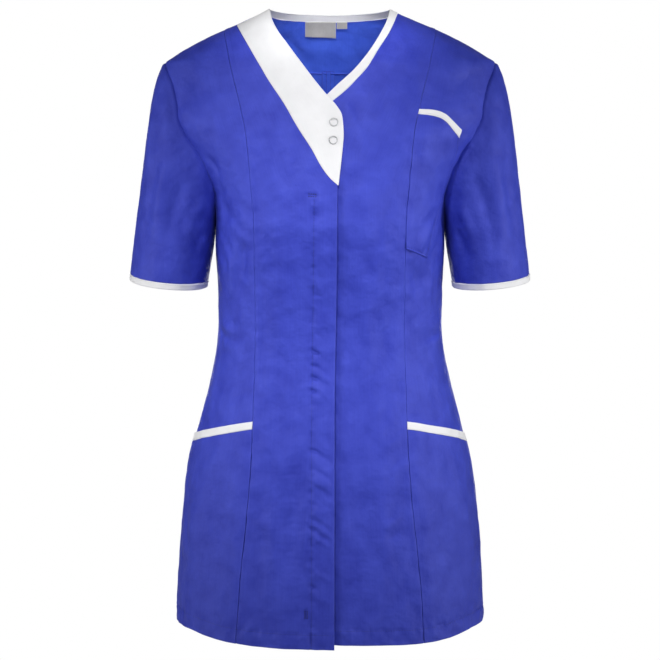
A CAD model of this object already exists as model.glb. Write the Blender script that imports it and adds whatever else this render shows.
"""The looks of a short-sleeved work tunic, hollow and open as if worn.

Sizes are in millimetres until they reach a mesh. The front faces -Y, +X is the wearer's left and +Z is
up. A place on the trunk is a turn and a height: the turn is 0 at the centre front, 90 degrees at the
wearer's left side and 180 at the centre back. Each piece of cloth is a patch, a fine grid on the form
of its solid, which gets its folds, seams, hems and stitches and then a thin wall.
"""

import math
from collections import namedtuple

import bmesh
import bpy
import numpy as np
from mathutils import Matrix, Vector, noise


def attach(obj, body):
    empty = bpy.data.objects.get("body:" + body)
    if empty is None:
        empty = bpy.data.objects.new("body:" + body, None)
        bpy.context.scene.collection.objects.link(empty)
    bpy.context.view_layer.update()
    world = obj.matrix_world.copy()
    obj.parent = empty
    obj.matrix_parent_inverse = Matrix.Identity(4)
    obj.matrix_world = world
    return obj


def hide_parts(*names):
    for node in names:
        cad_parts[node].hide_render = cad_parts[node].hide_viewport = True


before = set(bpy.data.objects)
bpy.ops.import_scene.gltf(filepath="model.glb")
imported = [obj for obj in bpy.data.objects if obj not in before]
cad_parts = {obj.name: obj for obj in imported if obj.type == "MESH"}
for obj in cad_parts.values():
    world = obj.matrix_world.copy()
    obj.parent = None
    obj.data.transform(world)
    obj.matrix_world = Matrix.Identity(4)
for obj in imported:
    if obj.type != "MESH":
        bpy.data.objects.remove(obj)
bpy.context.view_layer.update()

MM = 0.001
PITCH = 3.0            # between the threads of a patch's grid
FINE_PITCH = 2.3       # the same in the middle of the front
BAND_PITCH = 2.5       # the same in the broad band of the neck
TRIM_PITCH = 2.0       # the same in the narrow trim
MOUTH_PITCH = 1.8      # the same in the chest pocket's band
CUFF_PITCH = 1.5       # the same down the cuffs and across the labels
EDGE_STEPS = np.array([0.0, 0.3, 0.75, 1.4, 2.4, 3.8])  # the first threads in from each border
SAMPLES = 61           # points along a line that is measured

# The cloth
CLOTH = 0.55           # thickness of one layer
TRIM = CLOTH * 1.6     # thickness of a band or binding
CUFF_TRIM = CLOTH * 1.8
LABEL_THICKNESS = 0.35
HEM_LAYERS = 1.5       # thickness of the folded hem, in layers
TRIM_FLATTER = 0.6     # the share of the trunk's folds that the trim of the neck takes
THICKEST = 2.0         # the thickness for which a point of the wall weighs 1
FOLD_STRENGTH = 2.0
NARROWEST = 10.0       # the narrowest flat size that is declared

# Unevenness of hanging cloth: the size of each kind across and down, and how far it goes
Wave = namedtuple("Wave", "across down depth")
SLOW = Wave(48, 105, 1.3)
CRUMPLE = Wave(15, 24, 1.1)
CROSSWISE = Wave(34, 9, 0.5)
DRIFT = 9              # how far the slow kind shifts the finer ones
CALM, CALM_REACH = 0.6, 26.0    # the share that the finer ones lose at the sides, and how near them

# Sewing
HEM_DEPTH = 17.0       # the hem's stitches lie this far above its edge
TRIM_ROW = 1.5         # a row of stitches lies this far from the border of the trim
BAND_ROW = 1.6         # the same at the outer border of the neck band
BAND_ROW_END = -190.0  # the height where that row ends
YOKE_ROW = 5.0         # the same above the yoke's seam
POCKET_ROW = 2.4       # the same at the borders of the chest pocket
GROOVE_WIDTH = 1.7     # of a row of stitches
STITCH_RADIUS = 0.26
STITCH_LIFT = 0.1      # how far the middle of a stitch stands off the cloth
TACK_STITCH, TACK_GAP = 2.2, 0.1
TACK_ROWS = (-1.8, -1.4, -1.0, 1.0, 1.4, 1.8)   # how far they lie from the middle of a bar tack
TACK_DIP = 2.2         # how deep a bar tack presses the front in

# The closing, hidden under the right front
PLACKET = 26.5         # its stitches lie this far from the front edge
PLACKET_TOP = -221.0
Tack = namedtuple("Tack", "start end")
PLACKET_TACKS = [Tack((-25.0, -217.0), (-15.0, -217.5)), Tack((-27.5, -694.0), (-27.5, -704.0))]
Pucker = namedtuple("Pucker", "height share")
PUCKERS = [
    Pucker(-232, 0.7), Pucker(-341, 0.8), Pucker(-374, 0.5), Pucker(-408, 1.3), Pucker(-437, 1.4),
    Pucker(-512, 1.0), Pucker(-545, 1.2), Pucker(-578, 1.2), Pucker(-612, 0.8), Pucker(-650, 0.9),
    Pucker(-690, 0.5),
]
PUCKER_BASE = 0.25     # how strong the puckers are between these heights
PUCKER_REACH = 15.0    # how far from its height each of them goes
PUCKER_DEPTH = 5.0
PUCKER_IN = 3.5        # they lie this far inside the stitches
PULLS_MIDDLE, PULLS_REACH = -560.0, 110.0       # the height where the pulls are strongest

# The pleat of the back
PLEAT_HALF = 8.5       # half its width
PLEAT_RISE = 1.8
PLEAT_TOP = -50.0
PLEAT_END = -330.0
Layer = namedtuple("Layer", "start end")
PLEAT_FOLDS = [Layer(-10.0, 5.5), Layer(-4.6, 1.0)]     # the layers that are folded under it
PLEAT_FOLD_TOP = -70.0
PLEAT_FOLD_GAP = 1.9

# How far the cloth stands off
LAP_OFFSET = 1.5       # where one front lies over the other
LAP_LEFT = (-75.0, -45.0)
LAP_RIGHT = (18.0, 50.0)
LIP = 0.9              # the closing's edge
LIP_GAP = 1.6          # the left front sinks this far beside that edge
POCKET_SAG = 2.4       # the foot of the chest pocket
SHOULDER_RISE = 3.4    # the outer half of a shoulder, where it is fullest
SHOULDER_FULL, SHOULDER_REACH, SHOULDER_DEPTH = 136.0, 36.0, 26.0
SHOULDER_NECK, SHOULDER_SLOPE = 80.0, -0.54     # the line along the top of the shoulder
LABEL_TUCK = 1.5       # a label reaches this far up behind the binding
LABEL_ROWS = 16
LABEL_SINK = 1.6       # it lies this far inside the trunk's outer face
LABEL_CURL = 1.2       # its foot lies this much deeper

# The armhole and the seams, as in the solids
SHOULDER_TIP = -64.0
UNDERARM = -245.0
ARMHOLE_FRONT = 58.0
ARMHOLE_BACK = 56.0
ARMHOLE_SCOOP_FRONT = 0.12
ARMHOLE_SCOOP_BACK = 0.05
ARMHOLE_ROWS = 14
SKIRT_ROWS = 16
YOKE_ROWS = 9
YOKE_STEP = 2
PRINCESS_TOP = -27.0
PRINCESS_CHEST = -222.0
BAND_OUTER_TOP = -20.0
BAND_POINT = -206.0
BINDING_LOW_TOP = -5.0
UNDERLAP_TOP_EDGE = -128.0
UNDERLAP_LOW_EDGE = -141.0
NEAR_HEM = -735.0
BACK_NECK_DIP = 3.3
BACK_BINDING = 8.6
CUFF_BINDING = 7.5
UNDER_FRONT_SHORTER = 5.0
HIP_POCKET_ROWS = 9
CHEST_POCKET_ROWS = 7
SLEEVE_HEM_CENTRE = np.array([193.2, 0.0, -325.1])
SLEEVE_HEM_OUT = np.array([46.6, 0.0, 4.5])
SLEEVE_HEM_FORWARD = np.array([0.0, -61.0, -4.0])
SLEEVE_AXIS = np.array([0.125, 0.0, -0.992])
SLEEVE_HEAD_LIFT = 0.5

RING_RADIUS = 4.6
RING_WIRE = 0.65
RING_LIFT = 0.15 + 0.45 * RING_WIRE      # the wire's middle is this far off the right front
RING_SEGMENTS, WIRE_SEGMENTS = 56, 14
Stud = namedtuple("Stud", "across height")
STUDS = {"ring_stud_upper": Stud(4.3, -135.1), "ring_stud_lower": Stud(3.5, -155.4)}

Label = namedtuple("Label", "x_from x_to top low_from low_to")
LABELS = {
    "neck_label": Label(-30.5, 7.2, -12.4, -27.6, -29.6),
    "size_label": Label(8.2, 21.2, -12.4, -18.4, -18.4),
}

Section = namedtuple("Section", "height half_width front_depth back_depth squareness")
TRUNK = [
    Section(0, 71, 40, 60, 2.10),
    Section(-20, 110, 52, 74, 2.10),
    Section(-32, 134, 59, 82, 2.12),
    Section(-48, 168, 68, 91, 2.15),
    Section(-57, 185, 73, 96, 2.17),
    Section(SHOULDER_TIP, 195, 77, 99, 2.20),
    Section(-86, 197, 88, 107, 2.25),
    Section(-124, 196, 106, 115, 2.30),
    Section(-150, 183.5, 115.5, 118, 2.35),
    Section(-170, 167, 121.5, 119.5, 2.37),
    Section(-194, 151, 128, 120, 2.40),
    Section(-222, 138, 133.5, 119, 2.45),
    Section(UNDERARM, 135.5, 135, 116, 2.45),
    Section(-284, 136, 129, 110, 2.40),
    Section(-331, 134, 118, 102, 2.30),
    Section(-374, 134, 111, 98, 2.25),
    Section(-403, 136.5, 110, 100, 2.25),
    Section(-440, 143.5, 113, 107, 2.25),
    Section(-494, 157.5, 121, 118, 2.28),
    Section(-548, 170, 128, 125, 2.30),
    Section(-602, 176, 132, 130, 2.30),
    Section(-656, 180.5, 135, 132, 2.30),
    Section(-710, 183.5, 137, 133, 2.30),
    Section(-745, 183.7, 138, 133, 2.30),
]

At = namedtuple("At", "height across")
PRINCESS = [
    At(PRINCESS_TOP, 124), At(-76, 113.5), At(-112, 104), At(-147, 96.5), At(-192, 92),
    At(-262, 87), At(-343, 86.5), At(-458, 88.5), At(-530, 91.5), At(-600, 97.5),
    At(-660, 104), At(-745, 110),
]
BAND_OUTER = [
    At(BAND_OUTER_TOP, -110), At(-60, -86.4), At(-88, -69.6), At(-113, -53), At(-141, -36.8),
    At(-166, -20.6), At(-184, -10.6), At(-197, -1.1), At(BAND_POINT, 8.6),
]
BAND_INNER = [
    At(0, -71), At(-12, -68.3), At(-28, -60.5), At(-42, -50.4), At(-60, -37.3), At(-82, -20.9),
    At(-102.4, -4.3), At(-109.5, 2.3), At(-116, 7.7), At(-126, 13.6), At(-138.5, 15.2),
    At(-149, 15.7), At(-161, 14.8), At(BAND_POINT, 9.8),
]
FRONT_EDGE = [At(BAND_POINT, 8.6), At(-330, 7.3), At(-480, 5.4), At(-745, 5.0)]
UNDER_NECK_EDGE = [
    At(0, 71), At(-11, 68), At(-31, 58.3), At(-52, 45), At(-72, 28.3), At(-87, 12),
    At(-102.4, -4.3), At(-114, -16), At(UNDERLAP_TOP_EDGE, -29),
]
UNDER_NECK_LOW = [
    At(BINDING_LOW_TOP, 80.5), At(-28, 70), At(-47, 58), At(-71, 43), At(-87, 28.2),
    At(-100, 15), At(-110, 2.3), At(-122, -11), At(UNDERLAP_LOW_EDGE, -29),
]
UNDERLAP_EDGE = [At(UNDERLAP_LOW_EDGE, -29), At(-745, -29)]
CHEST_POCKET_EDGE = [
    At(-144, 152), At(-152, 149.5), At(-170, 147), At(-199, 136.5), At(-228, 129.5),
    At(-248, 123.5), At(-265, 118.5), At(-291, 112.5),
]
Hem = namedtuple("Hem", "turn height")
HEM = [
    Hem(0, -739.8), Hem(25, -738.5), Hem(45, -734), Hem(60, -729.5), Hem(75, -728), Hem(90, -730),
    Hem(120, -732), Hem(180, -734),
]
Mouth = namedtuple("Mouth", "share rise")
CHEST_MOUTH = [
    Mouth(0, 0), Mouth(0.1, 2.0), Mouth(0.2, 4.0), Mouth(0.3, 5.3), Mouth(0.4, 5.9),
    Mouth(0.5, 5.4), Mouth(0.6, 3.9), Mouth(0.7, 2.3), Mouth(0.8, 1.1), Mouth(1, 0),
]
Ends = namedtuple("Ends", "inner outer")
CHEST_BAND_TOP = Ends(-119.2, -142.9)
CHEST_BAND_LOW = Ends(-125.3, -152.8)
CHEST_FLOOR = Ends(-279, -291)
HIP_BAND_TOP = Ends(-479.4, -506.4)
HIP_BAND_LOW = Ends(-488.3, -516.6)
Leave = namedtuple("Leave", "turn out forward down start finish past")
SLEEVE_LEAVE = [
    Leave(0, 0.80, 0.00, 0.60, 20, 197, 0.0),
    Leave(45, 0.66, 0.42, 0.62, 34, 150, 0.2),
    Leave(90, 0.42, 0.34, 0.84, 42, 72, 0.6),
    Leave(135, 0.22, 0.30, 0.93, 24, 36, 0.9),
    Leave(180, 0.03, 0.00, 1.00, 33, 20, 1.0),
]

# Folds of the trunk, seen from in front or from behind. Each runs from a point through a bend to an
# end, and rises or sinks by rise over a width.
Fold = namedtuple("Fold", "x z bend_x bend_z end_x end_z rise width")
FRONT_FOLDS = [
    Fold(-128, -226, -112, -246, -92, -272, -1.3, 7),
    Fold(-131, -252, -118, -275, -100, -302, -1.0, 6),
    Fold(-122, -236, -104, -258, -86, -288, 0.9, 6),
    Fold(-98, -262, -104, -300, -109, -352, -2.2, 10),
    Fold(-114, -285, -117, -315, -113, -352, 1.2, 7),
    Fold(-131, -366, -116, -378, -98, -384, 1.1, 6),
    Fold(-130, -392, -118, -398, -101, -399, 0.8, 5),
    Fold(-132, -379, -122, -386, -110, -388, -0.9, 5),
    Fold(-79, -486, -70, -478, -58, -464, 0.9, 6),
    Fold(-80, -500, -66, -512, -52, -516, 0.6, 6),
    Fold(-46, -520, -42, -590, -47, -694, -2.4, 13),
    Fold(-66, -560, -64, -640, -72, -715, 1.4, 12),
    Fold(-88, -592, -74, -598, -56, -601, 0.9, 5),
    Fold(-86, -612, -72, -618, -62, -616, -0.8, 5),
    Fold(-128, -560, -136, -620, -141, -700, -1.8, 14),
    Fold(-152, -545, -160, -620, -163, -705, 1.6, 13),
    Fold(-60, -300, -56, -350, -60, -420, 1.0, 12),
    Fold(-44, -330, -40, -390, -46, -450, -1.0, 10),
    Fold(-170, -72, -152, -96, -136, -128, -0.9, 9),
    Fold(-150, -88, -134, -120, -126, -158, 0.8, 9),
    Fold(-146, -168, -134, -188, -122, -200, -1.1, 6),
    Fold(127, -228, 112, -250, 95, -268, -1.2, 7),
    Fold(131, -256, 120, -284, 108, -308, -1.1, 6),
    Fold(120, -240, 108, -264, 92, -296, 0.9, 6),
    Fold(98, -290, 104, -318, 106, -362, -2.0, 10),
    Fold(117, -300, 118, -330, 114, -366, 1.1, 7),
    Fold(132, -362, 118, -371, 96, -374, 1.0, 6),
    Fold(131, -385, 115, -395, 100, -398, 1.0, 5),
    Fold(134, -374, 122, -381, 112, -384, -0.9, 5),
    Fold(78, -485, 68, -474, 60, -462, 0.9, 6),
    Fold(80, -498, 70, -506, 58, -508, 0.6, 6),
    Fold(42, -540, 36, -600, 40, -690, -2.3, 14),
    Fold(60, -560, 66, -640, 62, -712, 1.3, 12),
    Fold(58, -602, 72, -594, 86, -585, 1.1, 6),
    Fold(62, -616, 76, -606, 88, -604, -0.8, 5),
    Fold(124, -570, 133, -630, 137, -708, -1.7, 14),
    Fold(150, -540, 161, -610, 165, -700, 1.5, 13),
    Fold(44, -300, 40, -350, 46, -430, 0.9, 12),
    Fold(62, -350, 58, -400, 62, -460, -0.9, 10),
    Fold(168, -74, 150, -94, 130, -112, -0.8, 9),
    Fold(22, -118, 46, -98, 72, -66, -0.6, 10),
]
BACK_FOLDS = [
    Fold(-126, -232, -112, -262, -92, -296, -1.6, 8),
    Fold(-131, -262, -116, -292, -100, -316, 1.1, 7),
    Fold(-122, -214, -100, -236, -80, -270, 1.0, 8),
    Fold(-70, -150, -66, -220, -58, -300, 1.6, 16),
    Fold(-40, -170, -36, -250, -40, -340, -1.3, 12),
    Fold(-120, -372, -84, -386, -40, -380, 1.5, 7),
    Fold(-118, -390, -80, -402, -48, -398, -1.4, 6),
    Fold(-128, -408, -96, -416, -60, -420, 1.0, 6),
    Fold(-60, -480, -70, -590, -78, -722, 2.6, 20),
    Fold(-104, -500, -116, -600, -124, -724, -2.2, 16),
    Fold(-144, -520, -156, -620, -160, -716, 1.8, 15),
    Fold(-22, -430, -26, -560, -30, -726, -2.0, 16),
    Fold(-150, -96, -128, -130, -104, -150, -1.1, 10),
    Fold(-86, -24, -72, -44, -48, -62, 1.6, 9),
    Fold(-56, -24, -38, -50, -12, -80, 2.6, 4.5),
    Fold(-98, -34, -84, -54, -60, -76, -1.2, 8),
    Fold(127, -230, 110, -258, 94, -286, -1.5, 8),
    Fold(130, -258, 118, -286, 98, -322, 1.1, 7),
    Fold(118, -212, 102, -240, 84, -262, 0.9, 8),
    Fold(74, -160, 66, -230, 62, -310, 1.5, 16),
    Fold(36, -180, 40, -260, 38, -330, -1.2, 12),
    Fold(122, -366, 90, -378, 46, -384, 1.4, 7),
    Fold(116, -384, 78, -397, 42, -402, -1.4, 6),
    Fold(124, -404, 92, -418, 66, -418, 0.9, 6),
    Fold(58, -490, 66, -600, 80, -724, 2.4, 20),
    Fold(100, -510, 114, -610, 120, -722, -2.0, 16),
    Fold(146, -530, 154, -610, 162, -714, 1.7, 15),
    Fold(24, -450, 22, -570, 28, -724, -1.8, 16),
    Fold(148, -98, 124, -126, 106, -156, -1.0, 10),
    Fold(92, -30, 74, -48, 56, -70, -0.9, 8),
]

# Folds of a sleeve, by degrees round it (0 at its top, 90 at its front, -90 at its back) and the
# share of the way down it
SleeveFold = namedtuple("SleeveFold", "around down bend_around bend_down end_around end_down rise width")
SLEEVE_FOLDS = [
    SleeveFold(96, 0.16, 92, 0.45, 84, 0.86, -2.0, 9),
    SleeveFold(74, 0.22, 70, 0.50, 66, 0.80, 1.5, 8),
    SleeveFold(118, 0.20, 112, 0.50, 108, 0.82, 1.4, 7),
    SleeveFold(54, 0.30, 50, 0.60, 47, 0.95, -1.2, 9),
    SleeveFold(132, 0.35, 126, 0.60, 126, 0.90, -1.3, 6),
    SleeveFold(30, 0.10, 33, 0.30, 30, 0.55, 0.9, 8),
    SleeveFold(-70, 0.20, -78, 0.50, -76, 0.85, -1.9, 10),
    SleeveFold(-98, 0.18, -100, 0.50, -96, 0.90, 1.5, 8),
    SleeveFold(-48, 0.25, -44, 0.55, -46, 0.88, 1.2, 9),
    SleeveFold(-122, 0.30, -118, 0.55, -120, 0.86, -1.3, 7),
    SleeveFold(-20, 0.15, -14, 0.40, -16, 0.70, -0.8, 9),
]
RIGHT_SLEEVE_TURN = 5.0    # the folds of the right sleeve start this many degrees further round


def smooth_curve(rows, key, value):
    """A smooth curve through a table that never swings past its rows. It takes arrays."""
    rows = sorted(rows, key=lambda row: getattr(row, key))
    keys = np.array([getattr(row, key) for row in rows], float)
    values = np.array([getattr(row, value) for row in rows], float)
    steps = np.diff(values) / np.diff(keys)
    product, total = steps[:-1] * steps[1:], steps[:-1] + steps[1:]
    inner = np.where(product > 0, 2 * product / np.where(product > 0, total, 1.0), 0.0)
    slopes = np.concatenate([steps[:1], inner, steps[-1:]])

    def at(place):
        place = np.clip(place, keys[0], keys[-1])
        i = np.clip(np.searchsorted(keys, place, side="right") - 1, 0, len(keys) - 2)
        width = keys[i + 1] - keys[i]
        t = (place - keys[i]) / width
        return (
            (1 + 2 * t) * (1 - t) ** 2 * values[i]
            + t * (1 - t) ** 2 * width * slopes[i]
            + t * t * (3 - 2 * t) * values[i + 1]
            + t * t * (t - 1) * width * slopes[i + 1]
        )

    return at


HALF_WIDTH = smooth_curve(TRUNK, "height", "half_width")
FRONT_DEPTH = smooth_curve(TRUNK, "height", "front_depth")
BACK_DEPTH = smooth_curve(TRUNK, "height", "back_depth")
SQUARENESS = smooth_curve(TRUNK, "height", "squareness")
HEM_HEIGHT = smooth_curve(HEM, "turn", "height")
LEAVE_CURVES = [smooth_curve(SLEEVE_LEAVE, "turn", field) for field in Leave._fields[1:]]


def mix(a, b, share):
    return a + (b - a) * share


def ease(start, end, place):
    """Runs smoothly from 0 at start to 1 at end."""
    t = np.clip((place - start) / (end - start), 0.0, 1.0)
    return t * t * (3 - 2 * t)


def lengths_along(points, axis):
    """The distance of each point of a grid from the first in its row or column."""
    steps = np.linalg.norm(np.diff(points, axis=axis), axis=-1)
    return np.insert(np.cumsum(steps, axis=axis), 0, 0.0, axis=axis)


def unit(vectors):
    return vectors / np.maximum(np.linalg.norm(vectors, axis=-1, keepdims=True), 1e-9)


def trunk_point(turn, height):
    """Points on the trunk's outer face."""
    turn, height = np.broadcast_arrays(np.asarray(turn, float), np.asarray(height, float))
    power = 2 / SQUARENESS(height)
    across, forward = np.sin(np.radians(turn)), np.cos(np.radians(turn))
    depth = np.where(forward > 0, FRONT_DEPTH(height), BACK_DEPTH(height))
    x = np.sign(across) * HALF_WIDTH(height) * np.abs(across) ** power
    y = -np.sign(forward) * depth * np.abs(forward) ** power
    return np.stack([x, y, height], axis=-1)


def slope(curve, height):
    """How fast a size of the trunk grows with height. Above the neck there is no trunk."""
    low, high = height - 0.5, np.minimum(height + 0.5, 0.0)
    return (curve(high) - curve(low)) / (high - low)


def trunk_normal(points):
    """The direction straight out of the trunk at points on it."""
    x, y, z = points[..., 0], points[..., 1], points[..., 2]
    front = y < 0
    power, width = SQUARENESS(z), HALF_WIDTH(z)
    depth = np.where(front, FRONT_DEPTH(z), BACK_DEPTH(z))
    deepening = np.where(front, slope(FRONT_DEPTH, z), slope(BACK_DEPTH, z)) / depth
    spread = slope(HALF_WIDTH, z) / width
    across, along = np.abs(x) / width, np.abs(y) / depth
    return unit(np.stack([
        np.sign(x) * across ** (power - 1) / width,
        np.sign(y) * along ** (power - 1) / depth,
        -across ** power * spread - along ** power * deepening,
    ], axis=-1))


def turn_at(across, height):
    """The turn on the front that lies a distance across at a height."""
    share = np.minimum(np.abs(across) / HALF_WIDTH(height), 1.0)
    return np.sign(across) * np.degrees(np.arcsin(share ** (SQUARENESS(height) / 2)))


def armhole_turn(height, front=True):
    """The turn of the left armhole's edge at a height, on the front or on the back."""
    middle, half = (SHOULDER_TIP + UNDERARM) / 2, (SHOULDER_TIP - UNDERARM) / 2
    level = np.clip((height - middle) / half, -1.0, 1.0)
    reach, scoop, depth = ARMHOLE_FRONT, ARMHOLE_SCOOP_FRONT, FRONT_DEPTH(height)
    if not front:
        reach, scoop, depth = ARMHOLE_BACK, ARMHOLE_SCOOP_BACK, BACK_DEPTH(height)
    y = reach * np.sqrt(1 - level * level) * (1 - scoop * level)
    turn = np.degrees(np.arccos(np.minimum((y / depth) ** (SQUARENESS(height) / 2), 1.0)))
    return turn if front else 180 - turn


def rounded(row):
    """The share of the way down at a row beside the armhole, whose rows crowd at both ends."""
    return (1 - np.cos(np.pi * np.clip(row, 0, ARMHOLE_ROWS) / ARMHOLE_ROWS)) / 2


def armhole_height(row):
    return mix(SHOULDER_TIP, UNDERARM, rounded(row))


def hem_height(turn, under=False):
    """The hem's height at a turn. The left front, which lies under, is a little shorter."""
    turn = np.abs(turn)
    height = HEM_HEIGHT(np.where(turn > 180, 360 - turn, turn))
    if under:
        height = height + UNDER_FRONT_SHORTER * (1 - ease(-5, 45, turn))
    return height


def seam(table, top, low, shoulder, below=None, under=False):
    """The turn and height at each row of a seam from the shoulder, and to the hem where it has a table
    for the way below."""
    across = smooth_curve(table, "height", "across")
    across_below = smooth_curve(below, "height", "across") if below else None
    hem = hem_height(turn_at(across_below(NEAR_HEM), NEAR_HEM), under) if below else low

    def upper(row):
        height = mix(top, low, rounded(row))
        return turn_at(across(height), height), height

    def at(row):
        row = np.asarray(row, float)
        turn, height = upper(row)
        first, _ = upper(1.0)
        turn = np.where(row < 1, mix(shoulder, first, row), turn)
        if below:
            lower = mix(low, hem, np.clip((row - ARMHOLE_ROWS) / SKIRT_ROWS, 0, 1))
            down = row > ARMHOLE_ROWS
            turn = np.where(down, turn_at(across_below(lower), lower), turn)
            height = np.where(down, lower, height)
        return turn, height

    return at


def side_seam(front=True, skip=0):
    """The left armhole's edge and the side seam below it, without its first rows."""
    hem = hem_height(90.0)

    def at(row):
        row = np.asarray(row, float) + skip
        height = armhole_height(row)
        turn = np.where((row <= 0) | (row >= ARMHOLE_ROWS), 90.0, armhole_turn(height, front))
        lower = mix(UNDERARM, hem, np.clip((row - ARMHOLE_ROWS) / SKIRT_ROWS, 0, 1))
        return turn, np.where(row > ARMHOLE_ROWS, lower, height)

    return at


def mirrored(edge):
    def at(row):
        turn, height = edge(row)
        return -turn, height
    return at


def other_side(edge):
    def at(row):
        turn, height = edge(row)
        return 360 - turn, height
    return at


def straight(table, top, low, last, side=1):
    """A pocket's edge on a seam, or on the side seam where there is no table."""
    across = smooth_curve(table, "height", "across") if table else None

    def at(row):
        height = mix(top, low, np.asarray(row, float) / last)
        turn = turn_at(across(height), height) if table else np.full_like(height, 90.0)
        return side * turn, height

    return at


def hem_bow(left, right, first, last, under=False):
    """Curves the rows of a panel below the first towards the hem line."""
    (turn_a, height_a), (turn_b, height_b) = left(float(last)), right(float(last))

    def bow(row, share):
        straight_down = mix(height_a, height_b, share)
        lower = hem_height(mix(turn_a, turn_b, share), under) - straight_down
        return lower * np.clip((row - first) / (last - first), 0, 1)

    return bow


# A grid on the garment, with each point's distances from its four borders along the cloth
Patch = namedtuple("Patch", "points normals left right top low")


def patch(points, normals):
    left, top = lengths_along(points, 1), lengths_along(points, 0)
    return Patch(points, normals, left, left[:, -1:] - left, top, top[-1:] - top)


def spread(lengths, pitch=PITCH):
    """Distances along each length: even, but close together at both ends."""
    lengths = np.atleast_1d(lengths)[:, None]
    ends = EDGE_STEPS[None, :] * np.minimum(1.0, lengths / 14)
    count = max(int(round(lengths.max() / pitch)), 3)
    share = np.linspace(0, 1, count + 1)[None, 1:-1]
    inner = ends[:, -1:] + (lengths - 2 * ends[:, -1:]) * share
    return np.concatenate([ends, inner, lengths - ends[:, ::-1]], axis=1)


def trunk_patch(left, right, last, bow=None, pitch=PITCH):
    """A patch on the trunk between two edges, which give a turn and height for rows 0 to last."""

    def place(rows, share):
        (turn_a, height_a), (turn_b, height_b) = left(rows[:, None]), right(rows[:, None])
        height = mix(height_a, height_b, share)
        if bow:
            height = height + bow(rows[:, None], share)
        return trunk_point(mix(turn_a, turn_b, share), height)

    fine = np.linspace(0, last, 40 * SAMPLES)
    down = lengths_along(place(fine, np.array([[0.5]])), 0)[:, 0]
    rows = np.interp(spread(down[-1], pitch)[0], down, fine)
    shares = np.linspace(0, 1, SAMPLES)
    across = lengths_along(place(rows, shares[None, :]), 1)
    wanted = spread(across[:, -1], pitch)
    share = np.array([np.interp(want, have, shares) for want, have in zip(wanted, across)])
    points = place(rows, share)
    return patch(points, trunk_normal(points))


def hemmed_patch(left, right, first=ARMHOLE_ROWS, last=ARMHOLE_ROWS + SKIRT_ROWS, under=False,
                 pitch=PITCH):
    """A patch on the trunk whose rows below the first curve towards the hem."""
    return trunk_patch(left, right, last, hem_bow(left, right, first, last, under), pitch)


def bent_line(start, bend, end, count=24):
    t = np.linspace(0, 1, count)[:, None]
    return start * (1 - t) ** 2 + 2 * bend * t * (1 - t) + end * t * t


def add_fold(points, line, rise, width):
    """How far a soft fold along a line moves points. It is strongest a third of the way along."""
    gaps = np.linalg.norm(points[:, None, :] - line[None, :, :], axis=2)
    nearest = gaps.argmin(axis=1)
    distance = gaps[np.arange(len(points)), nearest]
    along = nearest / (len(line) - 1)
    strength = ease(0, 0.3, along) * ease(0, 0.55, 1 - along)
    return FOLD_STRENGTH * rise * strength * np.exp(-(distance / width) ** 2)


def front_or_back(x, z, side):
    turn = turn_at(x, z)
    return trunk_point(turn if side < 0 else 180 - turn, z)


def trunk_relief(points):
    """The trunk's folds and soft unevenness at points on it, the same for every layer."""
    flat = points.reshape(-1, 3)
    relief = np.zeros(len(flat))
    for side, folds in ((-1, FRONT_FOLDS), (1, BACK_FOLDS)):
        mine = (flat[:, 1] < 6) if side < 0 else (flat[:, 1] > -6)
        for fold in folds:
            line = bent_line(
                front_or_back(fold.x, fold.z, side),
                front_or_back(fold.bend_x, fold.bend_z, side),
                front_or_back(fold.end_x, fold.end_z, side),
            )
            relief[mine] += add_fold(flat[mine], line, fold.rise, fold.width)
    return relief.reshape(points.shape[:-1]) + unevenness(points) + shoulder_fullness(points)


def shoulder_fullness(points):
    """How far the cloth stands off the outer half of both shoulders."""
    across, height = np.abs(points[..., 0]), points[..., 2]
    below = SHOULDER_SLOPE * (across - SHOULDER_NECK) - height
    return SHOULDER_RISE * np.exp(-((across - SHOULDER_FULL) / SHOULDER_REACH) ** 2
                                  - (below / SHOULDER_DEPTH) ** 2)


def unevenness(points):
    """Slow, mostly upright unevenness of hanging cloth, with finer crumples and weak cross ones.

    The finer ones fade towards the sides, where the cloth hangs straighter.
    """
    relief = []
    for x, y, z in points.reshape(-1, 3):
        slow = noise.noise(Vector((x / SLOW.across, y / SLOW.across, z / SLOW.down)))
        drift = DRIFT * slow
        crumple = noise.noise(Vector((
            (x + drift) / CRUMPLE.across + 9, y / CRUMPLE.across,
            (z + 0.5 * x + drift) / CRUMPLE.down,
        )))
        crosswise = noise.noise(Vector((
            x / CROSSWISE.across, y / CROSSWISE.across + 5, (z - 0.3 * x - drift) / CROSSWISE.down,
        )))
        calm = 1 - CALM * math.exp(-(y / CALM_REACH) ** 2)
        finer = CRUMPLE.depth * crumple + CROSSWISE.depth * crosswise
        relief.append(SLOW.depth * slow + calm * finer)
    return np.array(relief).reshape(points.shape[:-1])


# A border of a piece: how deep it turns in, over what reach, and how far its very edge is tucked
# inside as a seam allowance
Edge = namedtuple("Edge", "depth reach tuck", defaults=(0.0,))
SEAM = Edge(0.22, 1.0, 0.6)
YOKE_SEAM = Edge(0.9, 1.6, 0.8)
SET_IN = Edge(0.5, 1.4, 1.0)
FOLDED = Edge(0.55, 0.9)
ROLLED = Edge(1.0, 1.6)
TRIM_FOLD = Edge(0.9, 1.4)
CUFF_TOP = Edge(0.9, 1.2)
SLEEVE_FOOT = Edge(0.9, 1.6)
SLEEVE_UNDERARM = Edge(1.4, 2.0)
UNDER_BAND = Edge(0.5, 1.0)
BAND_TOP = Edge(0.7, 1.2)
BAND_LOW = Edge(0.6, 1.0)

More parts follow.
